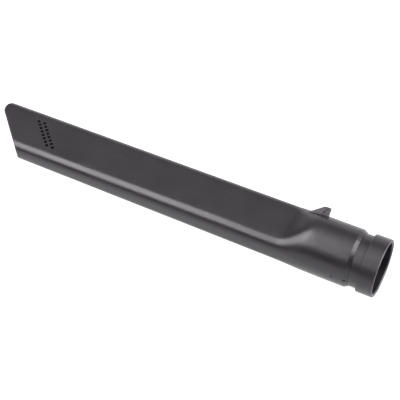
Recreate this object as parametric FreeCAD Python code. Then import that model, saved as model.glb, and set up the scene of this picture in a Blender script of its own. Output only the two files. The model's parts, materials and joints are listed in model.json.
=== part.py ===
import FreeCAD, Part
import math
import os

# Crevice nozzle for a vacuum cleaner: a flat duct with a slanted mouth that turns
# round at the connector end.  Millimetres.
#
# Frame: X along the connector axis, origin at the centre of the connector's end face,
# the mouth towards -X.  +Z is the normal of the upper wide face, and +Y is the narrow
# edge with the long corner of the mouth.  The locating fin stands between +Y and +Z.

# ---- driving dimensions -------------------------------------------------------------

# Whole nozzle
total_length = 273.6            # connector end face to the mouth's rounded long corner
duct_width = 35.8               # across the wide faces
tip_thickness = 13.6            # flat duct at the mouth
root_thickness = 18.4           # flat duct where it starts to turn round
tip_corner_radius = 5.4         # long edges at the mouth
root_corner_radius = 6.6        # long edges where the duct starts to turn round
shell_wall = 2.0

# Round neck and the turn from flat to round
neck_diameter = 36.0
neck_length = 26.8              # round stretch of the shells, shoulder chamfer included
transition_length = 20.0
shoulder_chamfer_length = 2.2
shoulder_chamfer_depth = 1.25

# Mouth
mouth_slant_deg = 46.0          # from square to the axis
mouth_corner_radius = 7.0       # rounding of the long corner, seen along Z

# Bleed holes
bleed_hole_diameter = 2.1
bleed_rows = 8
bleed_columns = 2
bleed_row_pitch = 2.3           # along Y
bleed_column_pitch = 4.55       # along X
bleed_setback = 28.6            # along X, mouth edge to the first column

# Connector collar
ring_length = 10.2
groove_width = 5.4
groove_depth = 1.6
spigot_length = 14.0
spigot_clearance = 0.1          # radial, spigot in the shells
spigot_lead_in = 0.6
ring_wall = 2.0                 # leaves the socket in the end ring
socket_depth = 8.0
spigot_wall = 1.5               # leaves the bore behind the socket
rim_chamfer = 0.35              # outer edge of the end face
socket_chamfer = 0.7            # inner edge of the end face
ring_rear_chamfer = 0.3

# Locating fin
fin_angle_deg = 43.0            # where it stands round the neck, from +Y towards +Z
fin_top_thickness = 2.4
fin_base_thickness = 3.6        # at the neck's skin, so the sides have draft
fin_height = 4.9                # above the neck
fin_top_length = 4.0            # square rear face to where the ramp would meet the top
fin_ramp_deg = 37.0
fin_nose_radius = 2.5           # between the ramp and the top
fin_rear_setback = 40.3         # connector end face to the fin's square rear face
fin_length = 12.0               # rear face to the foot of the ramp, which ends in a small square step
fin_web_top_thickness = 1.4     # rear of the fin, recessed from both sides
fin_web_base_thickness = 2.2
fin_web_top_length = 1.5
fin_web_base_length = 4.5
fin_sink = 5.0                  # how far the blank reaches under the neck's skin
tenon_thickness = 2.4
tenon_length = 6.0
tenon_margin = 1.6              # fin's rear face to the tenon
tenon_clearance = 0.1

# Small moulded marks on the -Y parting line
dimple_diameter = 1.5
dimple_depth = 0.3
dimple_setback = 25.0
notch_length = 3.0
notch_width = 2.4
notch_depth = 0.9

# ---- places worked out from the sizes ---------------------------------------------------

neck_radius = neck_diameter / 2
half_width = duct_width / 2
shell_end_x = -(ring_length + groove_width)
shoulder_x = shell_end_x - shoulder_chamfer_length
round_start_x = shell_end_x - neck_length
flat_end_x = round_start_x - transition_length
mouth_run = math.tan(math.radians(mouth_slant_deg))     # X per unit of Y along the mouth
corner_angle = math.radians(90 - mouth_slant_deg)       # between the mouth and the +Y edge
corner_tangent = mouth_corner_radius / math.tan(corner_angle / 2)
tip_x = -(total_length + corner_tangent - mouth_corner_radius)     # sharp corner, before rounding
overrun = 5.0                                           # cutting tools past the faces they cut
outline_steps = 40                                      # per quarter of an outline


def smooth(u):
    """Ease from 0 to 1 with level ends."""
    u = min(max(u, 0.0), 1.0)
    return u * u * (3 - 2 * u)


def blend(start, end, share):
    return start + (end - start) * share


def section_size(x):
    """Half width, half thickness and corner radius of the outer section at x."""
    if x <= flat_end_x:
        share = (x - tip_x) / (flat_end_x - tip_x)
        thickness = blend(tip_thickness, root_thickness, share)
        corner = blend(tip_corner_radius, root_corner_radius, share)
        return half_width, thickness / 2, corner
    share = smooth((x - flat_end_x) / transition_length)
    half = blend(half_width, neck_radius, share)
    half_thick = blend(root_thickness / 2, neck_radius, share)
    corner = blend(root_corner_radius, neck_radius, share)
    return half, half_thick, corner


def quarter_point(half, half_thick, corner, distance):
    """Point of a quarter outline, at a distance along it from (half, 0)."""
    rise = half_thick - corner
    quarter = corner * math.pi / 2
    flat = half - corner
    if distance <= rise:
        return half, distance
    distance -= rise
    if distance <= quarter:
        angle = distance / corner
        return flat + corner * math.cos(angle), rise + corner * math.sin(angle)
    return flat - (distance - quarter), half_thick


def outline(x, inset):
    """Closed outline at x as one smooth curve, inset from the outer skin.

    It starts and ends at the middle of the lower wide face.
    """
    half, half_thick, corner = (size - inset for size in section_size(x))
    quarter_length = half_thick - corner + corner * math.pi / 2 + half - corner
    shares = [i / outline_steps for i in range(outline_steps + 1)]
    quarter = [quarter_point(half, half_thick, corner, quarter_length * share) for share in shares]
    right_low = [(y, -z) for y, z in reversed(quarter)]
    right = right_low + quarter[1:]
    left = [(-y, z) for y, z in reversed(right[:-1])]
    points = [FreeCAD.Vector(x, y, z) for y, z in right + left]
    count = len(points) - 1
    curve = Part.BSplineCurve()
    curve.interpolate(
        Points=points,
        Parameters=[i / count for i in range(count + 1)],
        InitialTangent=FreeCAD.Vector(0, 1, 0),
        FinalTangent=FreeCAD.Vector(0, 1, 0),
    )
    return curve


def stations(extra):
    """X of the sections, closer together where the duct turns round.

    extra is how far the first and last lie beyond the duct's own ends.
    """
    first = tip_x - extra
    last = shell_end_x + extra
    flat = [blend(first, flat_end_x, i / 8) for i in range(8)]
    turn = [blend(flat_end_x, round_start_x, i / 14) for i in range(14)]
    neck = [blend(round_start_x, last, i / 4) for i in range(5)]
    return flat + turn + neck


def duct(inset, extra):
    """Solid whose smooth skin passes through the outlines of all stations."""
    places = stations(extra)
    outlines = [outline(x, inset) for x in places]
    shares = [(x - places[0]) / (places[-1] - places[0]) for x in places]
    around = outlines[0]
    lengthwise = []
    for poles in zip(*[curve.getPoles() for curve in outlines]):
        line = Part.BSplineCurve()
        line.interpolate(Points=list(poles), Parameters=shares)
        lengthwise.append(line)
    along = lengthwise[0]
    surface = Part.BSplineSurface()
    surface.buildFromPolesMultsKnots(
        [line.getPoles() for line in lengthwise],
        around.getMultiplicities(), along.getMultiplicities(),
        around.getKnots(), along.getKnots(),
        False, False, around.Degree, along.Degree,
    )
    skin = surface.toShape()
    rims = [edge for edge in skin.Edges if edge.BoundBox.XLength < overrun / 2]
    caps = [Part.Face(Part.Wire(rim)) for rim in rims]
    shell = Part.makeShell([skin] + caps)
    shell.sewShape()
    solid = Part.Solid(shell)
    if solid.Volume < 0:
        solid.reverse()
    return solid


def upper_half_space():
    """Block that holds everything above the parting plane."""
    reach = neck_diameter + duct_width
    corner = FreeCAD.Vector(tip_x - 3 * overrun, -reach / 2, 0)
    return Part.makeBox(total_length + reach, reach, reach, corner)


def revolve_x(profile):
    """Solid of revolution about the X axis from (x, radius) corners."""
    points = [FreeCAD.Vector(x, 0, radius) for x, radius in profile]
    face = Part.Face(Part.makePolygon(points + points[:1]))
    return face.revolve(FreeCAD.Vector(0, 0, 0), FreeCAD.Vector(1, 0, 0), 360)


def mouth_envelope():
    """Prism along Z that keeps everything behind the slanted mouth and its round corner."""
    corner = FreeCAD.Vector(tip_x, half_width, 0)
    along_side = FreeCAD.Vector(1, 0, 0)
    along_mouth = FreeCAD.Vector(math.cos(corner_angle), -math.sin(corner_angle), 0)
    side_point = corner + along_side * corner_tangent
    mouth_point = corner + along_mouth * corner_tangent
    centre = side_point - FreeCAD.Vector(0, mouth_corner_radius, 0)
    bisector = (corner - centre).normalize()
    arc_point = centre + bisector * mouth_corner_radius
    far_y = -half_width - overrun
    mouth_end = FreeCAD.Vector(tip_x + (half_width - far_y) * mouth_run, far_y, 0)
    back_low = FreeCAD.Vector(overrun, far_y, 0)
    back_high = FreeCAD.Vector(overrun, half_width + overrun, 0)
    over_side = side_point + FreeCAD.Vector(0, overrun, 0)
    edges = [
        Part.Arc(side_point, arc_point, mouth_point).toShape(),
        Part.LineSegment(mouth_point, mouth_end).toShape(),
        Part.LineSegment(mouth_end, back_low).toShape(),
        Part.LineSegment(back_low, back_high).toShape(),
        Part.LineSegment(back_high, over_side).toShape(),
        Part.LineSegment(over_side, side_point).toShape(),
    ]
    face = Part.Face(Part.Wire(edges))
    depth = neck_diameter + 2 * overrun
    prism = face.extrude(FreeCAD.Vector(0, 0, depth))
    prism.translate(FreeCAD.Vector(0, 0, -depth / 2))
    return prism


def bleed_drills():
    """Drills through both wide faces, in columns parallel to the mouth."""
    drills = []
    length = root_thickness + 2 * overrun
    for column in range(bleed_columns):
        for row in range(bleed_rows):
            y = (row - (bleed_rows - 1) / 2) * bleed_row_pitch
            mouth_x = tip_x + (half_width - y) * mouth_run
            x = mouth_x + bleed_setback + column * bleed_column_pitch
            start = FreeCAD.Vector(x, y, -length / 2)
            drills.append(Part.makeCylinder(bleed_hole_diameter / 2, length, start))
    return Part.makeCompound(drills)


def shoulder_cutter():
    """Ring that bevels the shells' end down to just above the groove's floor."""
    end_radius = neck_radius - shoulder_chamfer_depth
    outside = neck_radius + overrun
    past = shell_end_x + overrun
    return revolve_x([
        (shoulder_x, neck_radius),
        (shell_end_x, end_radius),
        (past, end_radius),
        (past, outside),
        (shoulder_x, outside),
    ])


def fin_outline(base_y):
    """Side view of the fin down to base_y: ramped front, flat top, square rear."""
    top_y = neck_radius + fin_height
    rear_x = -fin_rear_setback
    ramp = (top_y - base_y) / math.tan(math.radians(fin_ramp_deg))
    return [
        (rear_x, base_y),
        (rear_x, top_y),
        (rear_x - fin_top_length, top_y),
        (rear_x - fin_top_length - ramp, base_y),
    ]


def slab(corners, thickness, centre_z=0.0):
    """Plate from (x, y) corners, its thickness centred on centre_z."""
    points = [FreeCAD.Vector(x, y, centre_z - thickness / 2) for x, y in corners]
    face = Part.Face(Part.makePolygon(points + points[:1]))
    return face.extrude(FreeCAD.Vector(0, 0, thickness))


def at_xy(edge, x, y):
    """Whether an edge runs along Z through (x, y)."""
    reach = 1e-6
    return all(math.hypot(v.X - x, v.Y - y) < reach for v in edge.Vertexes)


def stand(shape):
    """Turn something drawn on the +Y edge to where the fin stands round the neck."""
    return shape.rotated(FreeCAD.Vector(0, 0, 0), FreeCAD.Vector(1, 0, 0), fin_angle_deg)


def tenon(clearance):
    """Root of the fin, and with a clearance its slot in the upper shell."""
    rear_x = clearance - fin_rear_setback - tenon_margin
    front_x = rear_x - tenon_length - 2 * clearance
    low_y = neck_radius - shell_wall - clearance
    high_y = neck_radius + fin_height / 4
    corners = [(front_x, low_y), (rear_x, low_y), (rear_x, high_y), (front_x, high_y)]
    return stand(slab(corners, tenon_thickness + 2 * clearance))


def wedge(top_thickness, base_thickness):
    """Bar as long as the fin, its thickness falling evenly from the neck to the fin's top."""
    growth = (base_thickness - top_thickness) / fin_height
    low_y = neck_radius - fin_sink
    high_y = neck_radius + fin_height
    low_half = (top_thickness + growth * (high_y - low_y)) / 2
    high_half = top_thickness / 2
    front_x = -fin_rear_setback - fin_length
    points = [
        FreeCAD.Vector(front_x, low_y, -low_half),
        FreeCAD.Vector(front_x, low_y, low_half),
        FreeCAD.Vector(front_x, high_y, high_half),
        FreeCAD.Vector(front_x, high_y, -high_half),
    ]
    face = Part.Face(Part.makePolygon(points + points[:1]))
    return face.extrude(FreeCAD.Vector(-front_x, 0, 0))


def web_recess():
    """Everything at the fin's rear that lies outside the thinner web."""
    rear_x = -fin_rear_setback
    low_y = neck_radius
    high_y = neck_radius + fin_height
    corners = [
        (rear_x, low_y),
        (rear_x, high_y),
        (rear_x - fin_web_top_length, high_y),
        (rear_x - fin_web_base_length, low_y),
    ]
    zone = slab(corners, 2 * fin_base_thickness)
    return zone.cut(wedge(fin_web_top_thickness, fin_web_base_thickness))


def parting_marks():
    """Round dimple on the -Y parting line, and a shallow V notch in the shoulder."""
    dimple_start = FreeCAD.Vector(-dimple_setback, -neck_radius + dimple_depth, 0)
    dimple = Part.makeCylinder(dimple_diameter / 2, overrun, dimple_start, FreeCAD.Vector(0, -1, 0))
    open_x = shell_end_x + overrun
    apex_x = shell_end_x - notch_length
    half_open = notch_width / 2 * (open_x - apex_x) / notch_length
    floor_y = notch_depth - neck_radius
    points = [
        FreeCAD.Vector(apex_x, floor_y, 0),
        FreeCAD.Vector(open_x, floor_y, half_open),
        FreeCAD.Vector(open_x, floor_y, -half_open),
    ]
    face = Part.Face(Part.makePolygon(points + points[:1]))
    notch = face.extrude(FreeCAD.Vector(0, -overrun, 0))
    return Part.makeCompound([dimple, notch])


def half_shell():
    """Upper half of the nozzle, open on the parting plane, without the fin's slot."""
    tube = duct(0.0, 0.0).cut(duct(shell_wall, overrun))
    shell = tube.common(upper_half_space())
    shell = shell.common(mouth_envelope())
    shell = shell.cut(shoulder_cutter())
    shell = shell.cut(bleed_drills())
    return shell.cut(parting_marks())


def upper_shell(half):
    return half.cut(tenon(tenon_clearance))


def lower_shell(half):
    """The same half mirrored in the parting plane; it carries no fin."""
    return half.mirror(FreeCAD.Vector(0, 0, 0), FreeCAD.Vector(0, 0, 1))


def connector_collar():
    """Turned insert: end ring, groove floor, seat against the shells, spigot inside them."""
    floor_radius = neck_radius - groove_depth
    spigot_radius = neck_radius - shell_wall - spigot_clearance
    spigot_end_x = shell_end_x - spigot_length
    bore_radius = spigot_radius - spigot_wall
    socket_radius = neck_radius - ring_wall
    taper = socket_radius - bore_radius
    return revolve_x([
        (0.0, socket_radius + socket_chamfer),
        (0.0, neck_radius - rim_chamfer),
        (-rim_chamfer, neck_radius),
        (ring_rear_chamfer - ring_length, neck_radius),
        (-ring_length, neck_radius - ring_rear_chamfer),
        (-ring_length, floor_radius),
        (shell_end_x, floor_radius),
        (shell_end_x, spigot_radius),
        (spigot_end_x + spigot_lead_in, spigot_radius),
        (spigot_end_x, spigot_radius - spigot_lead_in),
        (spigot_end_x, bore_radius),
        (-socket_depth - taper, bore_radius),
        (-socket_depth, socket_radius),
        (-socket_chamfer, socket_radius),
    ])


def locating_fin():
    """Ramped fin, its underside fitted to the upper shell's skin."""
    body = slab(fin_outline(neck_radius - fin_sink), 2 * fin_base_thickness)
    nose_x = -fin_rear_setback - fin_top_length
    nose_y = neck_radius + fin_height
    nose = [edge for edge in body.Edges if at_xy(edge, nose_x, nose_y)]
    body = body.makeFillet(fin_nose_radius, nose)
    body = body.common(wedge(fin_top_thickness, fin_base_thickness))
    body = stand(body.cut(web_recess())).cut(duct(0.0, 0.0))
    return body.fuse(tenon(0.0)).removeSplitter()


def export(name, shape):
    """Write one node; print what it is made of."""
    solids = shape.Solids
    kept = solids[0] if len(solids) == 1 else Part.makeCompound(solids)
    box = kept.optimalBoundingBox()
    print(name, len(solids), "solid", kept.isValid(), round(kept.Volume, 1),
          [round(v, 2) for v in (box.XMin, box.YMin, box.ZMin, box.XMax, box.YMax, box.ZMax)])
    kept.exportStep(os.path.join("parts", name + ".step"))


def main():
    os.makedirs("parts", exist_ok=True)
    half = half_shell()
    export("upper_shell", upper_shell(half))
    export("lower_shell", lower_shell(half))
    export("connector_collar", connector_collar())
    export("locating_fin", locating_fin())


main()
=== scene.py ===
import bpy
import json
import math
from mathutils import Matrix, Vector


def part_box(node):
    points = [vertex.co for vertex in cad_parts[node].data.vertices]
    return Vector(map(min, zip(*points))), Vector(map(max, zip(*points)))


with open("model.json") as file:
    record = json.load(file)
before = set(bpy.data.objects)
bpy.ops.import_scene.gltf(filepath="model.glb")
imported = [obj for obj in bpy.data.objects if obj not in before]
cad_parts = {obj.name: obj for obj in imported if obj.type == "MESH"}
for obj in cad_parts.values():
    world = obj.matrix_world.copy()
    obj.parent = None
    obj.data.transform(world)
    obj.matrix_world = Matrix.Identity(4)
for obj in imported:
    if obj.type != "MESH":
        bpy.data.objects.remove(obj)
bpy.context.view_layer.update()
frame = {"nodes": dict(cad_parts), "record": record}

# ---- places from the frame --------------------------------------------------------------

TIP_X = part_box("lower_shell")[0].x
NECK_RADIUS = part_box("connector_collar")[1].z

# ---- floor, camera and light, in metres and degrees ------------------------------------

# The nozzle lies on its round neck and on the lower edge of its mouth.
TIP_HALF_THICKNESS = 0.0068
REST_X = -0.0425
FLOOR_SIZE = 3.0
FLOOR_GREY = 0.2
FLOOR_ROUGHNESS = 0.9
FLOOR_SPECULAR = 0.1
FLOOR_GLOW = 1.0                # shows the floor as plain white
WORLD_STRENGTH = 0.05

LENS_MM = 90.0
SENSOR_MM = 36.0
CAMERA_CLIP = 0.01
AIM_X = -0.1207
AIM_Z = -0.0004
CAMERA_DISTANCE = 0.6228
CAMERA_AZIMUTH = 31.04
CAMERA_ELEVATION = 50.68
CAMERA_ROLL = -0.34

LIGHT_TINT = (0.985, 0.95, 1.0)
UP_Y = Vector((0.0, 1.0, 0.0))
UP_Z = Vector((0.0, 0.0, 1.0))

# Name, centre, point it faces, its two sizes, radiance and which way is up on it.
SOFTBOXES = [
    ("key", (-0.61, -0.38, 0.7), (-0.61, -0.38, 0.0), 0.74, 0.96, 8.8, UP_Y),
    ("fill", (0.06, 0.05, 0.72), (0.06, 0.05, 0.0), 0.56, 0.6, 1.7, UP_Y),
    ("side", (0.72, 0.2, 0.4), (0.0, 0.0, 0.0), 0.7, 0.75, 9.0, UP_Y),
    ("ceiling", (-0.45, 0.55, 0.75), (-0.45, 0.55, 0.0), 0.9, 0.8, 0.5, UP_Y),
    ("back", (-0.12, 0.85, 0.25), (-0.12, 0.0, 0.25), 1.8, 0.4, 1.2, UP_Z),
]

# ---- plastic ---------------------------------------------------------------------------

PLASTIC = (0.0120, 0.0104, 0.0123)
RUBBED = (0.075, 0.07, 0.078)

# Noise scales, per metre: slow tone, moulded grain, patches of wear, sink marks.
CLOUD_SCALE = 38.0
SPECKLE_SCALE = 2600.0
PATCH_SCALE = 420.0
SINK_SCALE = 55.0
STREAK_STRETCH = (25.0, 900.0, 900.0)     # long along the tool, fine across it

TONE_SWING = 0.08               # either side of the plastic's colour
SPECKLE_LIGHTER = 1.35
SPECKLE_SHARE = 0.25
SCUFF_SHARE = 0.12
GLOSS_SWING = 0.025
SCUFF_DULLING = 0.05
WEAR_DULLING = 0.18
SINK_HEIGHT = 0.0001
SINK_STRENGTH = 0.25
GRAIN_STRENGTH = 0.5
STREAK_HEIGHT = 0.000004
STREAK_STRENGTH = 0.4

# Roughness, grain height, reach of the edge wear and how strong it is.
SHELL_FINISH = (0.35, 0.00002, 0.0016, 0.5)
COLLAR_FINISH = (0.37, 0.000015, 0.0009, 0.6)
FIN_FINISH = (0.38, 0.00002, 0.0012, 0.5)
FIN_WEAR_INSET = 0.0008         # its wear is full from here inside its box's corner outwards

# ---- mouth, for the wear along its edge --------------------------------------------------

MOUTH_SLANT = math.radians(46.0)
MOUTH_INWARD = Vector((math.cos(MOUTH_SLANT), math.sin(MOUTH_SLANT), 0.0))
MOUTH_OFFSET = MOUTH_INWARD.dot(Vector(frame["record"]["mounts"][2]["pos_m"]))


def floor_slope():
    """Fall of the floor along X, from the mouth's lower edge to under the neck."""
    rise = NECK_RADIUS - TIP_HALF_THICKNESS
    return rise / (REST_X - TIP_X)


FLOOR_NORMAL = Vector((floor_slope(), 0.0, 1.0)).normalized()
FLOOR_POINT = Vector((REST_X, 0.0, -NECK_RADIUS))


def add_floor():
    mesh = bpy.data.meshes.new("floor")
    half = FLOOR_SIZE / 2
    corners = [(-half, -half, 0), (half, -half, 0), (half, half, 0), (-half, half, 0)]
    mesh.from_pydata(corners, [], [(0, 1, 2, 3)])
    floor = bpy.data.objects.new("floor", mesh)
    bpy.context.scene.collection.objects.link(floor)
    turn = Vector((0, 0, 1)).rotation_difference(FLOOR_NORMAL)
    floor.rotation_euler = turn.to_euler()
    floor.location = FLOOR_POINT
    material = bpy.data.materials.new("floor_white")
    material.use_nodes = True
    shader = material.node_tree.nodes["Principled BSDF"]
    shader.inputs["Base Color"].default_value = colour((FLOOR_GREY, FLOOR_GREY, FLOOR_GREY))
    shader.inputs["Roughness"].default_value = FLOOR_ROUGHNESS
    shader.inputs["Specular IOR Level"].default_value = FLOOR_SPECULAR
    shader.inputs["Emission Color"].default_value = (1.0, 1.0, 1.0, 1.0)
    shader.inputs["Emission Strength"].default_value = FLOOR_GLOW
    mesh.materials.append(material)


def direction(azimuth, elevation):
    """Unit vector from the object towards a viewer; azimuth 0 stands on -Y."""
    a = math.radians(azimuth)
    e = math.radians(elevation)
    return Vector((math.sin(a) * math.cos(e), -math.cos(a) * math.cos(e), math.sin(e)))


def look(location, target, up):
    """World matrix of a camera or light at location facing target."""
    back = (location - target).normalized()
    right = up.cross(back).normalized()
    top = back.cross(right)
    rotation = Matrix((right, top, back)).transposed().to_4x4()
    return Matrix.Translation(location) @ rotation


def add_camera():
    data = bpy.data.cameras.new("camera")
    data.lens = LENS_MM
    data.sensor_width = SENSOR_MM
    data.clip_start = CAMERA_CLIP
    camera = bpy.data.objects.new("camera", data)
    bpy.context.scene.collection.objects.link(camera)
    target = Vector((AIM_X, 0.0, AIM_Z))
    location = target + direction(CAMERA_AZIMUTH, CAMERA_ELEVATION) * CAMERA_DISTANCE
    roll = Matrix.Rotation(math.radians(CAMERA_ROLL), 4, "Z")
    camera.matrix_world = look(location, target, FLOOR_NORMAL) @ roll
    bpy.context.scene.camera = camera


def add_softbox(name, centre, aim, size_x, size_y, radiance, up):
    """Rectangular light at centre facing aim, of a given brightness whatever its size."""
    data = bpy.data.lights.new(name, "AREA")
    data.shape = "RECTANGLE"
    data.size = size_x
    data.size_y = size_y
    data.energy = radiance * math.pi * size_x * size_y
    data.color = LIGHT_TINT
    light = bpy.data.objects.new(name, data)
    bpy.context.scene.collection.objects.link(light)
    light.matrix_world = look(Vector(centre), Vector(aim), up)


def add_lights():
    for softbox in SOFTBOXES:
        add_softbox(*softbox)


def add_world():
    world = bpy.data.worlds.new("studio")
    world.use_nodes = True
    background = world.node_tree.nodes["Background"]
    background.inputs["Color"].default_value = (1.0, 1.0, 1.0, 1.0)
    background.inputs["Strength"].default_value = WORLD_STRENGTH
    bpy.context.scene.world = world


class Nodes:
    """Short hand for adding and wiring a material's nodes."""

    def __init__(self, material):
        material.use_nodes = True
        self.tree = material.node_tree
        self.shader = self.tree.nodes["Principled BSDF"]

    def feed(self, socket, value):
        if isinstance(value, bpy.types.NodeSocket):
            self.tree.links.new(value, socket)
        else:
            socket.default_value = value

    def place(self):
        """Position on the object, in metres."""
        return self.tree.nodes.new("ShaderNodeTexCoord").outputs["Object"]

    def scaled(self, vector, factors):
        node = self.tree.nodes.new("ShaderNodeVectorMath")
        node.operation = "MULTIPLY"
        self.feed(node.inputs[0], vector)
        self.feed(node.inputs[1], factors)
        return node.outputs[0]

    def noise(self, vector, scale, detail=2.0, roughness=0.5):
        node = self.tree.nodes.new("ShaderNodeTexNoise")
        self.feed(node.inputs["Vector"], vector)
        self.feed(node.inputs["Scale"], scale)
        self.feed(node.inputs["Detail"], detail)
        self.feed(node.inputs["Roughness"], roughness)
        return node.outputs["Fac"]

    def math(self, operation, first, second=0.0):
        node = self.tree.nodes.new("ShaderNodeMath")
        node.operation = operation
        self.feed(node.inputs[0], first)
        self.feed(node.inputs[1], second)
        return node.outputs[0]

    def ramp(self, value, low, high, to_low=0.0, to_high=1.0):
        """value taken smoothly from low..high to to_low..to_high, and held beyond."""
        node = self.tree.nodes.new("ShaderNodeMapRange")
        node.interpolation_type = "SMOOTHSTEP"
        limits = {"From Min": low, "From Max": high, "To Min": to_low, "To Max": to_high}
        for name, number in limits.items():
            self.feed(node.inputs[name], number)
        self.feed(node.inputs["Value"], value)
        return node.outputs["Result"]

    def mix(self, share, first, second):
        node = self.tree.nodes.new("ShaderNodeMix")
        node.data_type = "RGBA"
        self.feed(node.inputs[0], share)
        self.feed(node.inputs[6], first)
        self.feed(node.inputs[7], second)
        return node.outputs[2]

    def bump(self, height, distance, strength, normal=None):
        node = self.tree.nodes.new("ShaderNodeBump")
        self.feed(node.inputs["Height"], height)
        self.feed(node.inputs["Distance"], distance)
        self.feed(node.inputs["Strength"], strength)
        if normal:
            self.feed(node.inputs["Normal"], normal)
        return node.outputs["Normal"]

    def part(self, vector, axis):
        node = self.tree.nodes.new("ShaderNodeSeparateXYZ")
        self.feed(node.inputs[0], vector)
        return node.outputs[axis]


def colour(rgb, factor=1.0):
    return tuple(c * factor for c in rgb) + (1.0,)


def mouth_distance(nodes, place):
    """Distance back from the plane of the slanted mouth."""
    node = nodes.tree.nodes.new("ShaderNodeVectorMath")
    node.operation = "DOT_PRODUCT"
    nodes.feed(node.inputs[0], place)
    nodes.feed(node.inputs[1], MOUTH_INWARD)
    return nodes.math("SUBTRACT", node.outputs["Value"], MOUTH_OFFSET)


def rim_distance(nodes, place):
    """Distance back from the connector's end face."""
    return nodes.math("MULTIPLY", nodes.part(place, 0), -1.0)


def axis_distance(nodes, place):
    """Distance from the connector's axis."""
    y = nodes.part(place, 1)
    z = nodes.part(place, 2)
    square = nodes.math("ADD", nodes.math("MULTIPLY", y, y), nodes.math("MULTIPLY", z, z))
    return nodes.math("SQRT", square)


def moulded_plastic(name, finish, edge_distance):
    """Satin moulded plastic: spark grain, slow tone and gloss changes, fine handling
    marks along the tool, and edges rubbed a little lighter and duller.
    """
    roughness, grain, edge_reach, wear = finish
    material = bpy.data.materials.new(name)
    nodes = Nodes(material)
    place = nodes.place()
    clouds = nodes.noise(place, CLOUD_SCALE, 3.0, 0.55)
    speckle = nodes.noise(place, SPECKLE_SCALE, 1.0)
    streaks = nodes.noise(nodes.scaled(place, STREAK_STRETCH), 1.0, 3.0, 0.6)
    scuff = nodes.ramp(streaks, 0.62, 0.74)
    patchy = nodes.ramp(nodes.noise(place, PATCH_SCALE, 3.0, 0.6), 0.42, 0.66)
    near_edge = nodes.ramp(edge_distance(nodes, place), 0.0, edge_reach, wear, 0.0)
    rubbed = nodes.math("MULTIPLY", near_edge, patchy)

    darker = colour(PLASTIC, 1 - TONE_SWING)
    lighter = colour(PLASTIC, 1 + TONE_SWING)
    tone = nodes.mix(nodes.ramp(clouds, 0.3, 0.7), darker, lighter)
    dots = nodes.ramp(speckle, 0.35, 0.65, 0.0, SPECKLE_SHARE)
    tone = nodes.mix(dots, tone, colour(PLASTIC, SPECKLE_LIGHTER))
    tone = nodes.mix(nodes.math("MULTIPLY", scuff, SCUFF_SHARE), tone, colour(RUBBED))
    tone = nodes.mix(rubbed, tone, colour(RUBBED))
    nodes.feed(nodes.shader.inputs["Base Color"], tone)

    gloss = nodes.ramp(clouds, 0.3, 0.7, roughness - GLOSS_SWING, roughness + GLOSS_SWING)
    gloss = nodes.math("ADD", gloss, nodes.math("MULTIPLY", scuff, SCUFF_DULLING))
    gloss = nodes.math("ADD", gloss, nodes.math("MULTIPLY", rubbed, WEAR_DULLING))
    nodes.feed(nodes.shader.inputs["Roughness"], gloss)

    sink = nodes.bump(nodes.noise(place, SINK_SCALE, 1.0), SINK_HEIGHT, SINK_STRENGTH)
    pits = nodes.bump(speckle, grain, GRAIN_STRENGTH, sink)
    normal = nodes.bump(streaks, STREAK_HEIGHT, STREAK_STRENGTH, pits)
    nodes.feed(nodes.shader.inputs["Normal"], normal)
    return material


def finish_node(name, material):
    node = frame["nodes"][name]
    node.data.materials.clear()
    node.data.materials.append(material)
    for polygon in node.data.polygons:
        polygon.use_smooth = True


def finish_shells():
    material = moulded_plastic("shell_plastic", SHELL_FINISH, mouth_distance)
    finish_node("upper_shell", material)
    finish_node("lower_shell", material)


def finish_collar():
    material = moulded_plastic("collar_plastic", COLLAR_FINISH, rim_distance)
    finish_node("connector_collar", material)


def fin_top_distance(nodes, place):
    """Depth towards the connector's axis from where the fin's wear is full."""
    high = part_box("locating_fin")[1]
    top = math.hypot(high.y, high.z) - FIN_WEAR_INSET
    return nodes.math("SUBTRACT", top, axis_distance(nodes, place))


def finish_fin():
    material = moulded_plastic("fin_plastic", FIN_FINISH, fin_top_distance)
    finish_node("locating_fin", material)


bpy.context.scene.view_settings.view_transform = "Standard"
add_floor()
add_camera()
add_world()
add_lights()
finish_shells()
finish_collar()
finish_fin()
